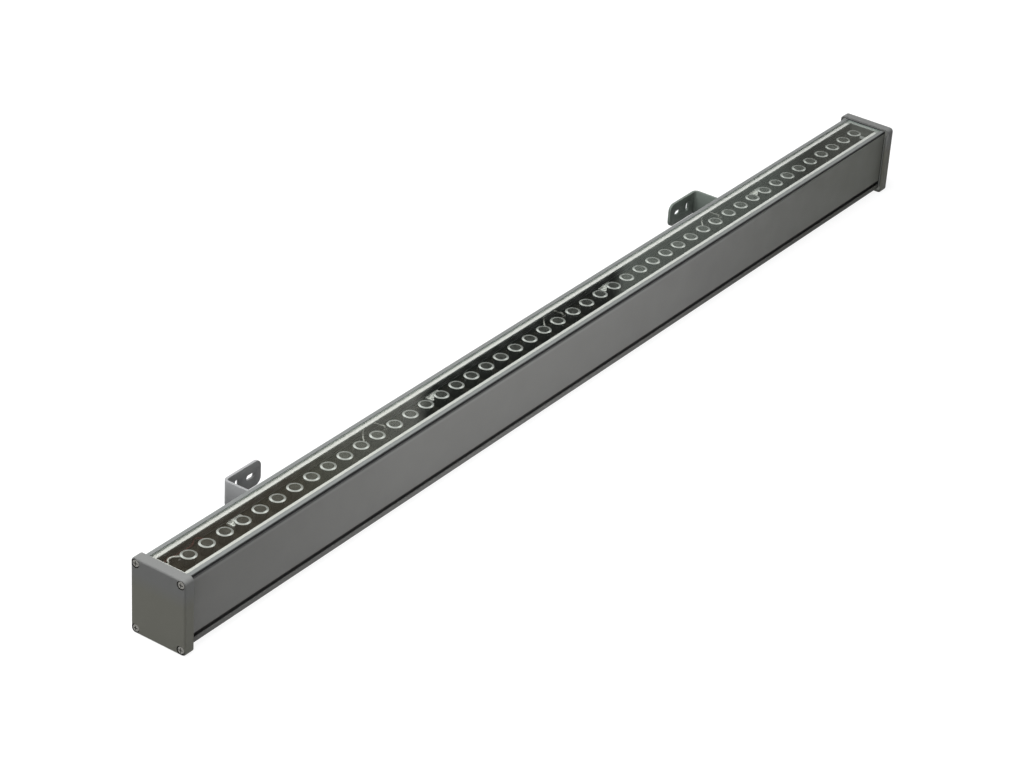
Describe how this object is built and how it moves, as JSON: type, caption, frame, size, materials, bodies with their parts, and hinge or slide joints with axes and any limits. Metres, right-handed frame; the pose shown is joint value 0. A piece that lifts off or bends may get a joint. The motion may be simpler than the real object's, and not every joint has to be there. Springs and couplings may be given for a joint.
{
  "type": "outdoor wall washer light",
  "caption": "Long wall washer lamp with a row of lenses under flat glass, square end caps and two tilting slotted wall brackets.",
  "frame": {"origin": "middle of the housing's underside, halfway between the outer faces of the end caps", "axes": "+X along the lamp to the end with the cable inlet, +Y towards the wall that the brackets meet, +Z the way the light goes"},
  "size_m": [1.2783, 0.138, 0.0815],
  "materials": {
    "housing_grey": "fine matt powder coat",
    "rail_silver": "satin anodised",
    "gasket_black": "matt",
    "cover_glass": "clear, ground dark edges",
    "sealant_pale": "soft sheen",
    "bare_aluminium": "mill finish",
    "board_black": "solder mask",
    "led_yellow": "glossy",
    "holder_black": "moulded",
    "lens_clear": "moulded, frosted rim",
    "dark_steel": "blackened",
    "connector_white": "moulded",
    "wire_pale": "smooth",
    "board_green": "solder mask",
    "part_dark": "moulded",
    "steel": "satin stainless",
    "lead_brown": "smooth",
    "plate_grey": "machined",
    "cap_grey": "fine matt powder coat",
    "gland_black": "moulded",
    "seal_black": "matt",
    "bracket_grey": "fine matt powder coat",
    "washer_pale": "smooth"
  },
  "bodies": {
    "lamp": {"housing": "housing_grey", "trim_rail_front": "rail_silver", "trim_rail_back": "rail_silver", "rail_gasket_front": "gasket_black", "rail_gasket_back": "gasket_black", "glass_cover": "cover_glass", "glass_bed": "sealant_pale", "led_tray": "bare_aluminium", "board_screws": "dark_steel", "board_connectors": "connector_white", "link_wires": "wire_pale", "feed_wires": "wire_pale", "driver_base": "bare_aluminium", "driver_cover": "bare_aluminium", "driver_board": "board_green", "driver_parts": "part_dark", "terminal_block": "connector_white", "inner_screws": "steel", "supply_leads": "lead_brown", "end_plate_near": "plate_grey", "end_plate_far": "plate_grey", "end_gasket_near": "gasket_black", "end_gasket_far": "gasket_black", "plate_screws_near": "steel", "plate_screws_far": "steel", "end_cap_near": "cap_grey", "end_cap_far": "cap_grey", "cap_screws_near": "steel", "cap_screws_far": "steel", "gland_body": "gland_black", "gland_seal": "seal_black", "gland_nut": "gland_black", "bracket_foot_left": "bracket_grey", "bracket_foot_right": "bracket_grey", "foot_bolts": "steel", "foot_nuts": "steel", "pivot_washers": "washer_pale", "pivot_bolts": "steel", "pivot_nuts": "steel", "led_board_1": "board_black", "leds_1": "led_yellow", "lens_holders_1": "holder_black", "lenses_1": "lens_clear", "led_board_2": "board_black", "leds_2": "led_yellow", "lens_holders_2": "holder_black", "lenses_2": "lens_clear", "led_board_3": "board_black", "leds_3": "led_yellow", "lens_holders_3": "holder_black", "lenses_3": "lens_clear", "led_board_4": "board_black", "leds_4": "led_yellow", "lens_holders_4": "holder_black", "lenses_4": "lens_clear"},
    "arm_left": {"bracket_arm_left": "bracket_grey"},
    "arm_right": {"bracket_arm_right": "bracket_grey"}
  },
  "joints": [
    {"name": "tilt_left", "type": "hinge", "parent": "lamp", "child": "arm_left", "pos_m": [-0.4175, 0.043, 0.0136], "axis": [1, 0, 0], "range_deg": [-90, 90]},
    {"name": "tilt_right", "type": "hinge", "parent": "lamp", "child": "arm_right", "pos_m": [0.4175, 0.043, 0.0136], "axis": [1, 0, 0], "range_deg": [-90, 90]}
  ]
}
